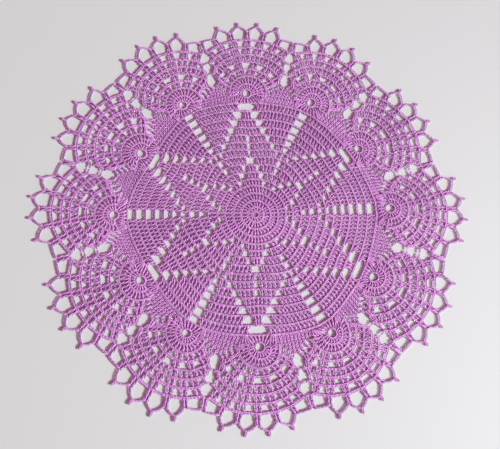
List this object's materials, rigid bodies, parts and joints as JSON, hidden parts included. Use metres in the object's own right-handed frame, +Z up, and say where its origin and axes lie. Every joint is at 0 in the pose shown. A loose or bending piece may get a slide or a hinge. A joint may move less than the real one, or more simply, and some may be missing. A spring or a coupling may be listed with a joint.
{
  "type": "round crochet lace tablecloth",
  "caption": "Round crocheted lace tablecloth lying flat, with a star of solid stitches, openwork fans around it and a pointed loop edging with picots.",
  "frame": {"origin": "centre of the bounding box at the underside, where the cloth rests on the table", "axes": "+Z up out of the cloth's face; +Y and +X lie in the cloth, towards the top and the right of the pictured view"},
  "size_m": [0.3662, 0.357, 0.0026],
  "materials": {
    "cotton_yarn": "soft matt mercerised cotton thread, crocheted"
  },
  "bodies": {
    "root": {"lace_cloth": "cotton_yarn"}
  },
  "joints": []
}
